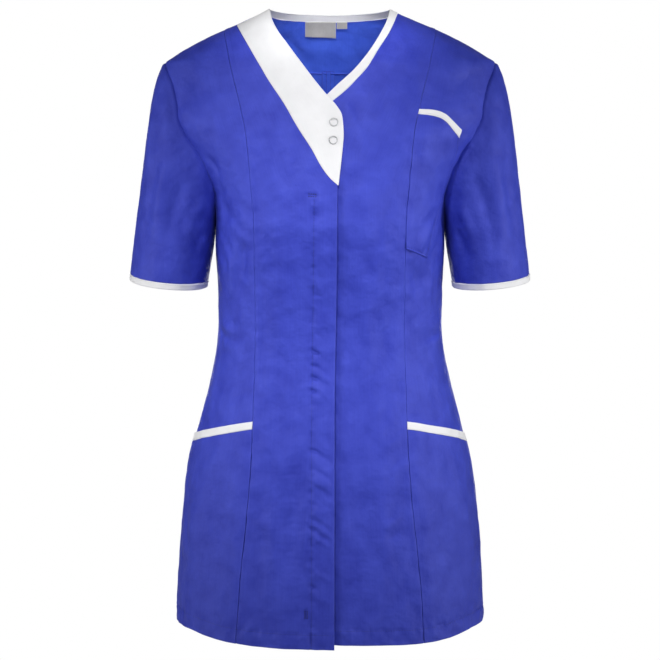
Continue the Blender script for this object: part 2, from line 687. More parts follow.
# A border that is one kind above a height and another below it
Changing = namedtuple("Changing", "above below height")
ARMHOLE_AND_SIDE = Changing(SET_IN, SEAM, UNDERARM + 12)
CLOSING_EDGE = Changing(SEAM, FOLDED, BAND_POINT)


def turned_in(distance, edge):
    tucked = np.where(distance < 0.05, edge.tuck, 0.0)
    return -edge.depth * np.clip(1 - distance / edge.reach, 0, 1) ** 3 - tucked


def uneven(along, wavelength, seed):
    """Uneven ups and downs between -1 and 1 along a line."""
    values = np.random.default_rng(seed).uniform(-1, 1, 400)
    place = np.asarray(along) / wavelength + 3
    i = np.floor(place).astype(int) % 398
    return mix(values[i], values[i + 1], ease(0, 1, place - np.floor(place)))


def stitched(distance, along, seed, groove=0.4, pull=0.35, reach=6.0):
    """The groove and the small pulls that a row of stitches makes."""
    waves = 0.65 * uneven(along, 6.5, seed) + 0.35 * uneven(along, 2.9, seed + 1)
    return (
        -groove * np.exp(-(distance / GROOVE_WIDTH) ** 2)
        + pull * waves * np.exp(-(distance / reach) ** 2)
    )


def pressed(distance, rise=0.32, width=6.0):
    """The step over a seam allowance that is pressed to one side."""
    return rise * ease(width + 1.2, width - 1.2, distance) * ease(0.2, 1.4, distance)


def seam_pulls(distance, along, seed, pull=0.6, reach=9.0):
    return pull * uneven(along, 8.5, seed) * np.exp(-(distance / reach) ** 2)


def add_mesh(name, bm):
    mesh = bpy.data.meshes.new(name)
    bm.to_mesh(mesh)
    bm.free()
    mesh.shade_smooth()
    piece = bpy.data.objects.new(name, mesh)
    bpy.context.collection.objects.link(piece)
    return piece


def cloth_piece(name, made, relief, surface, thickness=CLOTH):
    """A piece of cloth from a patch: its grid is moved out by the relief and gets a wall, whose
    thickness is a number or one for each point."""
    points = made.points + made.normals * np.asarray(relief)[..., None]
    rows, columns = points.shape[:2]
    bm = bmesh.new()
    bmesh.ops.create_grid(bm, x_segments=columns - 1, y_segments=rows - 1, size=1.0)
    bm.verts.ensure_lookup_table()
    for vertex, point in zip(bm.verts, points.reshape(-1, 3)):
        vertex.co = Vector(point) * MM
    middle = made.left - made.left[:, -1:] / 2
    down = np.repeat(made.top[:, [columns // 2]], columns, axis=1)
    threads = np.stack([middle, -down], axis=-1).reshape(-1, 2) * MM
    uv = bm.loops.layers.uv.new("threads")
    wall = bm.verts.layers.deform.new()
    worn = bm.verts.layers.float.new("worn")
    rubbed = worn_edges(made).reshape(-1)
    weights = np.broadcast_to(np.asarray(thickness, float), (rows, columns)).reshape(-1) / THICKEST
    for vertex, weight in zip(bm.verts, weights):
        vertex[wall][0] = float(weight)
        vertex[worn] = float(rubbed[vertex.index])
        for loop in vertex.link_loops:
            loop[uv].uv = threads[vertex.index]
    bmesh.ops.recalc_face_normals(bm, faces=bm.faces)
    outward = made.normals.reshape(-1, 3)
    facing = sum(v.normal.dot(Vector(outward[v.index])) for v in bm.verts)
    if facing < 0:
        bmesh.ops.reverse_faces(bm, faces=bm.faces)
    piece = add_mesh(name, bm)
    piece.vertex_groups.new(name="wall")
    solid = piece.modifiers.new("wall", "SOLIDIFY")
    solid.thickness = THICKEST * MM
    solid.offset = -1
    solid.vertex_group = "wall"
    solid.use_rim = True
    for side in surface:
        piece.data.materials.append(side)
    solid.material_offset = len(surface) - 1
    return piece, points


def sew(bm, line, normals, stitch, gap):
    """Adds a row of stitches along a line on the cloth, each a small rounded grain."""
    lengths = lengths_along(line, 0)
    count = max(int(lengths[-1] // (stitch + gap)), 1)
    up = normals[len(normals) // 2] if normals.ndim > 1 else normals
    for i in range(count):
        start = (i + 0.5) * lengths[-1] / count - stitch / 2
        spots = [start, start + stitch / 2, start + stitch]
        a, middle, b = (
            Vector([np.interp(spot, lengths, line[:, k]) for k in range(3)]) for spot in spots
        )
        if normals.ndim > 1:
            up = [np.interp(spots[1], lengths, normals[:, k]) for k in range(3)]
        turn = (b - a).to_track_quat("Z", "Y").to_matrix().to_4x4()
        place = (
            Matrix.Translation((middle + Vector(up) * STITCH_LIFT) * MM)
            @ turn
            @ Matrix.Diagonal((STITCH_RADIUS * MM, STITCH_RADIUS * MM, stitch / 2 * MM, 1.0))
        )
        bmesh.ops.create_icosphere(bm, subdivisions=1, radius=1.0, matrix=place)


# A thread's slot, the length of its stitches and the gap between them. Its rows of stitches wait
# here until all the cloth is made.
Thread = namedtuple("Thread", "slot stitch gap rows")
THREADS = {
    "blue": Thread("royal_blue_cloth", 2.3, 0.9, []),
    "white": Thread("white_trim_cloth", 1.9, 0.8, []),
}
Row = namedtuple("Row", "line normals stitch gap")


def line_at(grid, gaps, wanted):
    """The line across a grid where each of its rows is a wanted distance from its border."""
    line = []
    for places, gap in zip(grid, gaps):
        order = np.argsort(gap)
        line.append([np.interp(wanted, gap[order], places[order, k]) for k in range(3)])
    return np.array(line)


def stitch_down(colour, made, points, gaps, wanted, top=math.inf, low=-math.inf):
    """A row of stitches beside an upright border, between two heights."""
    thread = THREADS[colour]
    line = line_at(points, gaps, wanted)
    normals = line_at(made.normals, gaps, wanted)
    kept = (line[:, 2] < top) & (line[:, 2] > low)
    thread.rows.append(Row(line[kept], normals[kept], thread.stitch, thread.gap))


def stitch_across(colour, made, points, gaps, wanted):
    """A row of stitches beside a level border."""
    thread = THREADS[colour]
    turned = (1, 0, 2)
    line = line_at(points.transpose(turned), gaps.T, wanted)
    normals = line_at(made.normals.transpose(turned), gaps.T, wanted)
    thread.rows.append(Row(line, normals, thread.stitch, thread.gap))


def cloth_at(made, points, places):
    """Points of a piece of cloth, and its normals there, at places across and up as seen in front."""
    flat, normals = points.reshape(-1, 3), made.normals.reshape(-1, 3)
    line, facing = [], []
    for x, z in places:
        gaps = np.hypot(flat[:, 0] - x, flat[:, 2] - z)
        nearest = np.argsort(gaps)[:4]
        shares = 1 / (gaps[nearest] + 0.2)
        shares = shares / shares.sum()
        line.append([x, shares @ flat[nearest, 1], z])
        facing.append(shares @ normals[nearest])
    return np.array(line), np.array(facing)


def bar_tack(colour, made, points, tack):
    """Two bars of close short stitches that hold a corner, between two places seen in front."""
    start, end = np.array(tack.start, float), np.array(tack.end, float)
    along = (end - start) / np.linalg.norm(end - start)
    for offset in TACK_ROWS:
        shift = offset * np.array([-along[1], along[0]])
        places = [mix(start, end, share) + shift for share in np.linspace(0, 1, 5)]
        line, normals = cloth_at(made, points, places)
        THREADS[colour].rows.append(Row(line, normals, TACK_STITCH, TACK_GAP))


def sunk(made, left=None, right=None, top=None, low=None):
    """How far the borders of a piece turn in."""
    sinks = []
    for gap, kind in zip((made.left, made.right, made.top, made.low), (left, right, top, low)):
        if isinstance(kind, Changing):
            share = ease(kind.height - 9, kind.height + 5, made.points[..., 2])
            sinks.append(mix(turned_in(gap, kind.below), turned_in(gap, kind.above), share))
        elif kind:
            sinks.append(turned_in(gap, kind))
    return np.minimum.reduce(sinks)


def worn_edges(made):
    """1 at the borders of a piece and 0 a few millimetres in."""
    gap = np.minimum.reduce([made.left, made.right, made.top, made.low])
    return np.exp(-(gap / 1.6) ** 2)


def hem_finish(made, seed):
    """A turned-up hem: a row of stitches, mottled cloth below it and small pulls above it."""
    free = ease(0, 5, np.minimum(made.left, made.right))
    row = free * stitched(made.low - HEM_DEPTH, made.left, seed, groove=0.9, pull=1.9, reach=3.8)
    below = ease(HEM_DEPTH + 0.8, HEM_DEPTH - 1.2, made.low)
    mottled = 0.8 * uneven(made.left, 7.5, seed + 7) + 0.7 * uneven(made.left + made.low, 12, seed)
    return row + below * (0.4 + free * mottled * ease(0, 5, made.low))


def hem_wall(made):
    return CLOTH * (1 + (HEM_LAYERS - 1) * ease(HEM_DEPTH + 0.6, HEM_DEPTH - 0.6, made.low))


def top_layer(points):
    """Lifts the right front and its band where they lie over the left front."""
    return LAP_OFFSET * ease(*LAP_LEFT, points[..., 0])


def under_layer(points):
    return -LAP_OFFSET * (1 - ease(*LAP_RIGHT, points[..., 0]))


def under_lip(points):
    """The left front sinks a little along the edge of the right one."""
    x, z = points[..., 0], points[..., 2]
    gap = x - smooth_curve(FRONT_EDGE, "height", "across")(z)
    return -LIP_GAP * np.exp(-((gap + 1.0) / 5) ** 2) * ease(BAND_POINT + 10, BAND_POINT - 10, z)


# The materials of the two sides of a cloth, or the one of both, and its slot
Fabric = namedtuple("Fabric", "surface slot")


def finish(node, fabric, made, relief, thickness=CLOTH, name=None, cut=None):
    """Makes a piece of cloth that replaces a node, and returns the points of its outer face. Its cut
    is that of its patch unless another is given."""
    piece, points = cloth_piece(name or f"{node}_cloth", made, relief, fabric.surface, thickness)
    cut = cut or flat_cut(made)
    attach(piece, "root")
    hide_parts(node)
    return points


def finish_trim(node, fabric, made, relief, gaps, thickness=TRIM):
    """Makes a binding or band with a row of stitches beside a level border."""
    points = finish(node, fabric, made, relief, thickness)
    stitch_across("white", made, points, gaps, TRIM_ROW)


def finish_hemmed(node, fabric, made, relief):
    """Makes a panel with the hem at its foot, and sews it."""
    points = finish(node, fabric, made, relief, hem_wall(made))
    stitch_across("blue", made, points, made.low, HEM_DEPTH)


def flat_cut(made):
    """Width, length and area of the flat cloth of a patch, in metres."""
    down = lengths_along(made.points, 0)[-1]
    across = made.left[:, -1]
    steps = np.diff(made.top, axis=0)[:, :-1] * np.diff(made.left, axis=1)[:-1]
    width, length = max(float(across.max()), NARROWEST) * MM, max(float(down.max()), NARROWEST) * MM
    return width, length, float(steps.sum()) * MM * MM


def tack_dips(points):
    """The short dips that the bar tacks of the closing press into its front."""
    places = points[..., [0, 2]]
    dips = np.zeros(places.shape[:-1])
    for start, end in np.array(PLACKET_TACKS):
        along = end - start
        share = np.clip((places - start) @ along / (along @ along), 0, 1)
        gap = np.linalg.norm(places - start - share[..., None] * along, axis=-1)
        dips -= TACK_DIP * np.exp(-(gap / GROOVE_WIDTH) ** 2)
    return dips


def closing_relief(made):
    """The puckers, pulls and stitch line of the closing that is hidden under the right front."""
    z, gap = made.points[..., 2], made.right
    pulls = 0.35 + 0.65 * np.exp(-((z - PULLS_MIDDLE) / PULLS_REACH) ** 2)
    groups = PUCKER_BASE + sum(
        pucker.share * np.exp(-((z - pucker.height) / PUCKER_REACH) ** 2) for pucker in PUCKERS
    )
    dents = groups * np.maximum(uneven(-z + 0.25 * gap, 7.5, 35), 0) ** 2
    between = ease(0, 9, gap) * ease(PLACKET + 12, PLACKET - 8, gap)
    return (
        0.45 * ease(PLACKET + 0.8, PLACKET - 1.2, gap)
        + stitched(gap - PLACKET, -z, 21, groove=1.1, pull=1.6, reach=3.6)
        - PUCKER_DEPTH * dents * np.exp(-((gap - PLACKET + PUCKER_IN) / 5) ** 2)
        + pulls * groups * between * (
            1.7 * uneven(-z + 0.6 * gap, 6.5, 31) + 2.4 * uneven(-z - 0.3 * gap, 17, 33)
        )
    )


def make_right_centre(blue, princess):
    edge = seam(BAND_OUTER, BAND_OUTER_TOP, BAND_POINT, -90.0, FRONT_EDGE)
    made = hemmed_patch(princess, edge, pitch=FINE_PITCH)
    z = made.points[..., 2]
    closing = ease(PLACKET_TOP + 3, PLACKET_TOP - 5, z)
    relief = (
        trunk_relief(made.points) + top_layer(made.points)
        + sunk(made, SEAM, CLOSING_EDGE, SEAM, FOLDED)
        + hem_finish(made, 11)
        + closing * closing_relief(made)
        + pressed(made.left) + seam_pulls(made.left, -z, 41)
        + LIP * np.exp(-(made.right / 5) ** 2) * ease(BAND_POINT, BAND_POINT - 30, z)
        + tack_dips(made.points)
    )
    lined = closing * ease(PLACKET + 1, PLACKET - 1, made.right)
    wall = np.maximum(hem_wall(made), CLOTH * (1 + 0.8 * lined))
    points = finish("front_right_centre", blue, made, relief, wall)
    stitch_across("blue", made, points, made.low, HEM_DEPTH)
    stitch_down("blue", made, points, made.right, PLACKET, top=PLACKET_TOP)
    for tack in PLACKET_TACKS:
        bar_tack("blue", made, points, tack)


def make_left_centre(blue, princess):
    edge = seam(UNDER_NECK_LOW, BINDING_LOW_TOP, UNDERLAP_LOW_EDGE, 90.0, UNDERLAP_EDGE, True)
    made = hemmed_patch(edge, princess, under=True, pitch=FINE_PITCH)
    relief = (
        trunk_relief(made.points) + under_layer(made.points) + under_lip(made.points)
        + sunk(made, SEAM, SEAM, SEAM, FOLDED)
        + hem_finish(made, 13) + pressed(made.right)
        + seam_pulls(made.right, -made.points[..., 2], 43)
    )
    finish_hemmed("front_left_centre", blue, made, relief)


def make_fronts(blue):
    princess = seam(PRINCESS, PRINCESS_TOP, PRINCESS_CHEST, 90.0, PRINCESS)
    princess_under = seam(PRINCESS, PRINCESS_TOP, PRINCESS_CHEST, 90.0, PRINCESS, under=True)
    side = side_seam()
    make_right_centre(blue, mirrored(princess))

    made = hemmed_patch(mirrored(side), mirrored(princess))
    relief = (
        trunk_relief(made.points) + sunk(made, ARMHOLE_AND_SIDE, SEAM, SEAM, FOLDED)
        + hem_finish(made, 12) + seam_pulls(made.right, -made.points[..., 2], 41)
    )
    finish("front_right_side", blue, made, relief, hem_wall(made))

    make_left_centre(blue, princess_under)

    made = hemmed_patch(princess_under, side, under=True)
    relief = (
        trunk_relief(made.points) + sunk(made, SEAM, ARMHOLE_AND_SIDE, SEAM, FOLDED)
        + hem_finish(made, 14) + seam_pulls(made.left, -made.points[..., 2], 43)
    )
    finish("front_left_side", blue, made, relief, hem_wall(made))


def make_neck_trim(white):
    """The broad band at the right of the neck and the narrow binding at its left."""
    outer = seam(BAND_OUTER, BAND_OUTER_TOP, BAND_POINT, -90.0)
    inner = seam(BAND_INNER, 0.0, BAND_POINT, -90.0)
    made = trunk_patch(outer, inner, ARMHOLE_ROWS, pitch=BAND_PITCH)
    relief = (
        trunk_relief(made.points) * TRIM_FLATTER + top_layer(made.points) + 0.15
        + sunk(made, left=SEAM, right=TRIM_FOLD, top=SEAM)
        + seam_pulls(made.left, made.top, 45, pull=0.2, reach=5)
    )
    points = finish("neck_band", white, made, relief, TRIM)
    stitch_down("white", made, points, made.left, BAND_ROW, low=BAND_ROW_END)

    top = seam(UNDER_NECK_EDGE, 0.0, UNDERLAP_TOP_EDGE, 90.0)
    low = seam(UNDER_NECK_LOW, BINDING_LOW_TOP, UNDERLAP_LOW_EDGE, 90.0)
    made = trunk_patch(top, low, ARMHOLE_ROWS, pitch=TRIM_PITCH)
    relief = (
        trunk_relief(made.points) * TRIM_FLATTER + under_layer(made.points) + 0.2
        + sunk(made, left=ROLLED, right=SEAM, top=SEAM)
        + seam_pulls(made.right, made.top, 46, pull=0.15, reach=4)
    )
    points = finish("neck_binding_front", white, made, relief, TRIM)
    stitch_down("white", made, points, made.right, TRIM_ROW)


def pleat(points):
    """The box pleat at the centre back, which opens out towards the waist."""
    fade = ease(PLEAT_END, PLEAT_TOP, points[..., 2])
    raised = ease(PLEAT_HALF + 0.9, PLEAT_HALF - 0.4, np.abs(points[..., 0]))
    return PLEAT_RISE * fade * raised


def make_back(blue, white):
    dips = (BACK_NECK_DIP, BACK_NECK_DIP + BACK_BINDING + BINDING_LOW_TOP)

    def top(row):
        row = np.asarray(row, float)
        return np.full_like(row, 90.0), BINDING_LOW_TOP * row

    made = trunk_patch(top, other_side(top), 1,
                       lambda row, share: -np.sin(np.pi * share) ** 2 * mix(*dips, row),
                       pitch=TRIM_PITCH)
    relief = (
        0.2 + sunk(made, SEAM, SEAM, ROLLED, SEAM)
        + seam_pulls(made.low, made.left, 51, pull=0.15, reach=4)
    )
    finish_trim("neck_binding_back", white, made, relief, made.low)

    def yoke(row):
        row = np.asarray(row, float)
        share = (np.clip(row, 0, YOKE_ROWS) / YOKE_ROWS) ** 1.2
        height = armhole_height(np.clip(row - YOKE_ROWS, 0, ARMHOLE_ROWS))
        below = row > YOKE_ROWS
        turn = np.where(below, armhole_turn(height, front=False), 90.0)
        return turn, np.where(below, height, mix(BINDING_LOW_TOP, SHOULDER_TIP, share))

    def neck_curve(row, share):
        return -np.sin(np.pi * share) ** 2 * dips[1] * np.maximum(0, 1 - row / YOKE_ROWS)

    made = trunk_patch(yoke, other_side(yoke), YOKE_ROWS + YOKE_STEP, neck_curve)
    relief = (
        trunk_relief(made.points) + sunk(made, SEAM, SEAM, SEAM, YOKE_SEAM)
        + stitched(made.low - YOKE_ROW, made.left, 52, pull=0.2)
    )
    points = finish("back_yoke", blue, made, relief)
    stitch_across("blue", made, points, made.low, YOKE_ROW)

    side = side_seam(front=False, skip=YOKE_STEP)
    made = hemmed_patch(side, other_side(side), ARMHOLE_ROWS - YOKE_STEP,
                        ARMHOLE_ROWS + SKIRT_ROWS - YOKE_STEP)
    relief = (
        trunk_relief(made.points) + pleat(made.points)
        + sunk(made, ARMHOLE_AND_SIDE, ARMHOLE_AND_SIDE, YOKE_SEAM, FOLDED)
        + hem_finish(made, 15)
    )
    finish_hemmed("back_body", blue, made, relief)

    for number, layer in enumerate(PLEAT_FOLDS, 1):
        made = trunk_patch(back_line(layer.end), back_line(layer.start), 1, pitch=TRIM_PITCH)
        relief = (
            trunk_relief(made.points) + pleat(made.points) - PLEAT_FOLD_GAP * number
            + sunk(made, SEAM, SEAM, SEAM, SEAM)
        )
        finish("back_body", blue, made, relief, name=f"back_pleat_fold_{number}")


def back_line(across):
    """A straight line down the back below the yoke, a distance across from its middle."""
    def at(row):
        height = mix(PLEAT_FOLD_TOP, PLEAT_END, np.asarray(row, float))
        return 180 - turn_at(across, height), height
    return at


def armhole_seam(around, front):
    """The armhole's edge at rows of the armhole, the trunk's outward direction there and the
    direction in the cloth away from the panel."""
    sign = np.where(front, 1.0, -1.0)

    def place(row):
        height = armhole_height(row)
        turn = np.where(front, armhole_turn(height, True), armhole_turn(height, False))
        return trunk_point(turn, height)

    rows = np.clip(around, 0.02, ARMHOLE_ROWS - 0.02)
    here = place(rows)
    out = trunk_normal(here)
    away = unit(np.cross(place(rows + 0.015) - place(rows - 0.015), out))
    middle = here * [1, 0, 0] + np.array([0, 0, (SHOULDER_TIP + UNDERARM) / 2])
    away = away * np.sign(np.sum(away * (middle - here), axis=-1, keepdims=True))
    return here, out, away


def sleeve_paths(around, front):
    """Lines of points down the left sleeve from the armhole to the hem."""
    degrees = 180 * around / ARMHOLE_ROWS
    leave = Leave(degrees, *(curve(degrees) for curve in LEAVE_CURVES))
    forward = np.where(front, -1.0, 1.0)
    direction = unit(np.stack([leave.out, forward * leave.forward, -leave.down], axis=-1))
    here, out, away = armhole_seam(around, front)
    start = here + out * (leave.past * SLEEVE_HEAD_LIFT)[:, None]
    angle = np.radians(degrees)[:, None]
    end = (
        SLEEVE_HEM_CENTRE + SLEEVE_HEM_OUT * np.cos(angle)
        - SLEEVE_HEM_FORWARD * forward[:, None] * np.sin(angle)
    )
    after = start + direction * leave.start[:, None]
    before = end - SLEEVE_AXIS * leave.finish[:, None]
    t = np.linspace(0, 1, 2 * SAMPLES)[:, None, None]
    paths = (
        start * (1 - t) ** 3 + after * 3 * t * (1 - t) ** 2
        + before * 3 * t * t * (1 - t) + end * t ** 3
    )
    return paths, out


def along_paths(paths, distances):
    """Points at distances (rows by columns) along paths (samples by columns)."""
    lengths = lengths_along(paths, 0)
    return np.stack([
        np.stack([
            np.interp(distances[:, c], lengths[:, c], paths[:, c, k]) for k in range(3)
        ], axis=-1)
        for c in range(paths.shape[1])
    ], axis=1)


def tube_normals(points, centre):
    across = np.gradient(points, axis=1)
    across[:, 0] = across[:, -1] = (points[:, 1] - points[:, -2]) / 2
    normals = unit(np.cross(across, np.gradient(points, axis=0)))
    outward = np.sum(normals[-1, normals.shape[1] // 2] * (points[-1, normals.shape[1] // 2] - centre))
    return normals * np.sign(outward)


def sleeve_grid():
    """The columns of both sleeve patches: from the underarm over the back, top and front."""
    fine = np.linspace(-ARMHOLE_ROWS, ARMHOLE_ROWS, 12 * SAMPLES + 1)
    paths, _ = sleeve_paths(np.abs(fine), fine > 0)
    ring = lengths_along(paths[SAMPLES], 0)
    return np.interp(spread(ring[-1])[0], ring, fine)


def sleeve_fold_line(made, degrees, rows, fold, turned):
    """The line of a fold on a sleeve's cloth, moved a little round the sleeve."""
    places = bent_line(
        np.array([fold.around + turned, fold.down]),
        np.array([fold.bend_around - turned, fold.bend_down]),
        np.array([fold.end_around + turned / 2, fold.end_down]),
    )
    return np.array([
        [
            np.interp(around, degrees, [
                np.interp(down, rows, made.points[:, c, k]) for c in range(len(degrees))
            ])
            for k in range(3)
        ]
        for around, down in places
    ])


def sleeve_relief(made, degrees, rows, sign):
    """The folds, unevenness and seams of a sleeve. Those of the right one differ a little."""
    turned = RIGHT_SLEEVE_TURN if sign < 0 else 0.0
    relief = np.zeros(made.top.shape)
    flat = made.points.reshape(-1, 3)
    for i, fold in enumerate(SLEEVE_FOLDS):
        line = sleeve_fold_line(made, degrees, rows, fold, turned)
        rise = fold.rise * (1.1 - 0.25 * ((i + (sign < 0)) % 2))
        relief += add_fold(flat, line, rise, fold.width).reshape(relief.shape)
    relief += 0.8 * unevenness(made.points) * ease(0, 20, made.top)
    relief += sunk(made, low=SLEEVE_FOOT, left=SLEEVE_UNDERARM, right=SLEEVE_UNDERARM)
    relief += seam_pulls(made.low, made.left, 61 + sign, pull=0.25, reach=6)
    relief += seam_pulls(made.top, made.left, 71 + sign, pull=0.35, reach=7)
    head = np.cos(np.radians(degrees) / 2) ** 4
    return relief + (0.4 + 0.8 * head) * np.exp(-((made.top - 3.5) / 3.5) ** 2)


def make_sleeves(blue, tape):
    around = sleeve_grid()
    paths, out = sleeve_paths(np.abs(around), around > 0)
    whole = lengths_along(paths, 0)[-1]
    seam_at = whole - CUFF_BINDING
    rows = spread(seam_at.max())[0] / seam_at.max()
    sleeve = along_paths(paths, rows[:, None] * seam_at)
    strip = spread(CUFF_BINDING, CUFF_PITCH)[0]
    cuff = along_paths(paths, seam_at + strip[:, None])
    normals = tube_normals(np.concatenate([sleeve, cuff[1:]]), SLEEVE_HEM_CENTRE)
    degrees = 180 * around / ARMHOLE_ROWS
    for side, sign in (("left", 1), ("right", -1)):
        flip = np.array([sign, 1, 1])
        made = patch(sleeve * flip, normals[:len(sleeve)] * flip)
        relief = sleeve_relief(made, degrees, rows, sign)
        trunk_side = out * flip
        follow = trunk_relief(made.points[:1])[0] * ease(26, 0, made.top)
        sink = follow + turned_in(made.top, SET_IN)
        shifted = Patch(made.points + trunk_side[None] * sink[..., None], *made[1:])
        finish(f"sleeve_{side}", blue, shifted, relief, cut=flat_cut(made))

        made = patch(cuff * flip, normals[len(sleeve) - 1:] * flip)
        relief = (
            0.35 + sunk(made, top=CUFF_TOP, low=TRIM_FOLD)
            + 0.8 * unevenness(made.points)
            + 0.16 * uneven(made.left, 7, 81 + sign)
        )
        finish_trim(f"cuff_binding_{side}", tape, made, relief, made.top, CUFF_TRIM)


def pocket_layer(gap, base=0.75, rise=1.1, reach=12.0):
    """How far a pocket stands off its panel at a distance from where it is caught."""
    return base + rise * ease(0, reach, gap)


def make_hip_pocket(blue, tape, name, side):
    on_left = side > 0
    turn_low = turn_at(smooth_curve(PRINCESS, "height", "across")(NEAR_HEM), NEAR_HEM)
    low_inner, low_outer = hem_height(turn_low, on_left), hem_height(90.0)
    last = HIP_POCKET_ROWS

    def edges(inner_top, inner_low, outer_top, outer_low, rows):
        inner = straight(PRINCESS, inner_top, inner_low, rows, side)
        outer = straight(None, outer_top, outer_low, rows, side)
        return (inner, outer) if on_left else (outer, inner)

    left, right = edges(HIP_BAND_LOW.inner, low_inner, HIP_BAND_LOW.outer, low_outer, last)
    made = hemmed_patch(left, right, 0, last, on_left)
    gap = np.minimum(made.left, made.right)
    relief = (
        trunk_relief(made.points) + pocket_layer(gap)
        + sunk(made, SEAM, SEAM, UNDER_BAND, FOLDED)
        + hem_finish(made, 91 + side)
        + seam_pulls(made.left, made.top, 93 + side) + seam_pulls(made.right, made.top, 96 + side)
    )
    finish_hemmed(f"hip_pocket_{name}", blue, made, relief)

    left, right = edges(HIP_BAND_TOP.inner, HIP_BAND_LOW.inner, HIP_BAND_TOP.outer,
                        HIP_BAND_LOW.outer, 1)
    made = trunk_patch(left, right, 1, pitch=TRIM_PITCH)
    gap = np.minimum(made.left, made.right)
    relief = (
        trunk_relief(made.points) + pocket_layer(gap) + 0.3
        + sunk(made, SEAM, SEAM, BAND_TOP, BAND_LOW)
        + 0.15 * uneven(made.left, 9, 99 + side)
    )
    finish_trim(f"hip_pocket_band_{name}", tape, made, relief, made.low)


def make_chest_pocket(blue, tape):
    rise = smooth_curve(CHEST_MOUTH, "share", "rise")
    last = CHEST_POCKET_ROWS
    left = straight(PRINCESS, CHEST_BAND_LOW.inner, CHEST_FLOOR.inner, last)
    right = straight(CHEST_POCKET_EDGE, CHEST_BAND_LOW.outer, CHEST_FLOOR.outer, last)
    made = trunk_patch(left, right, last, lambda row, share: rise(share) * (1 - row / last) ** 2)
    gap = np.minimum.reduce([made.left, made.right, made.low])
    relief = (
        trunk_relief(made.points) + pocket_layer(gap, 0.8, 1.1)
        + sunk(made, SEAM, FOLDED, UNDER_BAND, FOLDED)
        + stitched(made.right - POCKET_ROW, made.top, 101, groove=0.8, pull=0.7, reach=3)
        + stitched(made.low - POCKET_ROW, made.left, 102, groove=1.6, pull=2.0, reach=5)
        + POCKET_SAG * np.exp(-(made.low / 6) ** 2) * (0.8 + 0.5 * uneven(made.left, 9, 103))
    )
    points = finish("chest_pocket", blue, made, relief)
    stitch_down("blue", made, points, made.right, POCKET_ROW)
    stitch_across("blue", made, points, made.low, POCKET_ROW)

    left = straight(PRINCESS, CHEST_BAND_TOP.inner, CHEST_BAND_LOW.inner, 1)
    right = straight(CHEST_POCKET_EDGE, CHEST_BAND_TOP.outer, CHEST_BAND_LOW.outer, 1)
    made = trunk_patch(left, right, 1, lambda row, share: rise(share), MOUTH_PITCH)
    gap = np.minimum(made.left, made.right)
    relief = (
        trunk_relief(made.points) + pocket_layer(gap, 0.65, 1.2) + 0.3
        + sunk(made, SEAM, BAND_LOW, BAND_TOP, BAND_LOW)
    )
    finish_trim("chest_pocket_band", tape, made, relief, made.low)


def make_labels(grey):
    for name, label in LABELS.items():
        across = spread(label.x_to - label.x_from, CUFF_PITCH)[0]
        share = across / across[-1]
        low = mix(label.low_from, label.low_to, share)
        down = np.linspace(0, 1, LABEL_ROWS)[:, None]
        height = mix(label.top + LABEL_TUCK, low, down)
        turn = 180 - turn_at(label.x_from + across, height)
        points = trunk_point(turn, height)
        made = patch(points, trunk_normal(points))
        relief = -LABEL_SINK - LABEL_CURL * down ** 2 + 0.5 * unevenness(points)
        finish(name, grey, made, relief, LABEL_THICKNESS)


def make_studs(steel):
    """Two open rings of wire, each a small circle spun round the stud's axis."""
    for name, stud in STUDS.items():
        seat = trunk_point(turn_at(stud.across, stud.height), stud.height)
        normal = Vector(trunk_normal(seat))
        centre = (Vector(seat) + normal * (LAP_OFFSET + RING_LIFT)) * MM
        turn = normal.to_track_quat("Z", "Y").to_matrix().to_4x4()
        bm = bmesh.new()
        wire = bmesh.ops.create_circle(
            bm, segments=WIRE_SEGMENTS, radius=RING_WIRE * MM,
            matrix=Matrix.Translation((RING_RADIUS * MM, 0, 0)) @ Matrix.Rotation(math.pi / 2, 4, "X"),
        )
        bmesh.ops.spin(
            bm, geom=wire["verts"] + list({e for v in wire["verts"] for e in v.link_edges}),
            cent=(0, 0, 0), axis=(0, 0, 1), angle=2 * math.pi, steps=RING_SEGMENTS, use_merge=True,
        )
        bmesh.ops.remove_doubles(bm, verts=bm.verts, dist=0.00001)
        bmesh.ops.recalc_face_normals(bm, faces=bm.faces)
        bmesh.ops.transform(bm, matrix=Matrix.Translation(centre) @ turn, verts=bm.verts)
        piece = add_mesh(f"{name}_ring", bm)
        piece.data.materials.append(steel)
        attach(piece, "root")
        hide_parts(name)


def make_stitches(surfaces):
    for colour, thread in THREADS.items():
        bm = bmesh.new()
        for row in thread.rows:
            sew(bm, row.line, row.normals, row.stitch, row.gap)
        piece = add_mesh(f"stitches_{colour}", bm)
        piece.data.materials.append(surfaces[f"{colour} thread"])
        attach(piece, "root")


# Materials

def add_node(tree, kind, inputs=None, **settings):
    made = tree.nodes.new(kind)
    for name, value in settings.items():
        setattr(made, name, value)
    for key, value in (inputs or {}).items():
        if isinstance(value, bpy.types.NodeSocket):
            tree.links.new(value, made.inputs[key])
        else:
            made.inputs[key].default_value = value
    return made


def calc(tree, operation, *values):
    made = add_node(tree, "ShaderNodeMath", dict(enumerate(values)), operation=operation)
    return made.outputs[0]


def add_noise(tree, place, scale, detail, roughness=0.5):
    made = add_node(tree, "ShaderNodeTexNoise", {
        "Vector": place, "Scale": scale, "Detail": detail, "Roughness": roughness,
    })
    return made.outputs["Fac"]


def add_bump(tree, height, strength, distance, normal=None):
    inputs = {"Height": height, "Strength": strength, "Distance": distance}
    if normal:
        inputs["Normal"] = normal
    return add_node(tree, "ShaderNodeBump", inputs).outputs["Normal"]


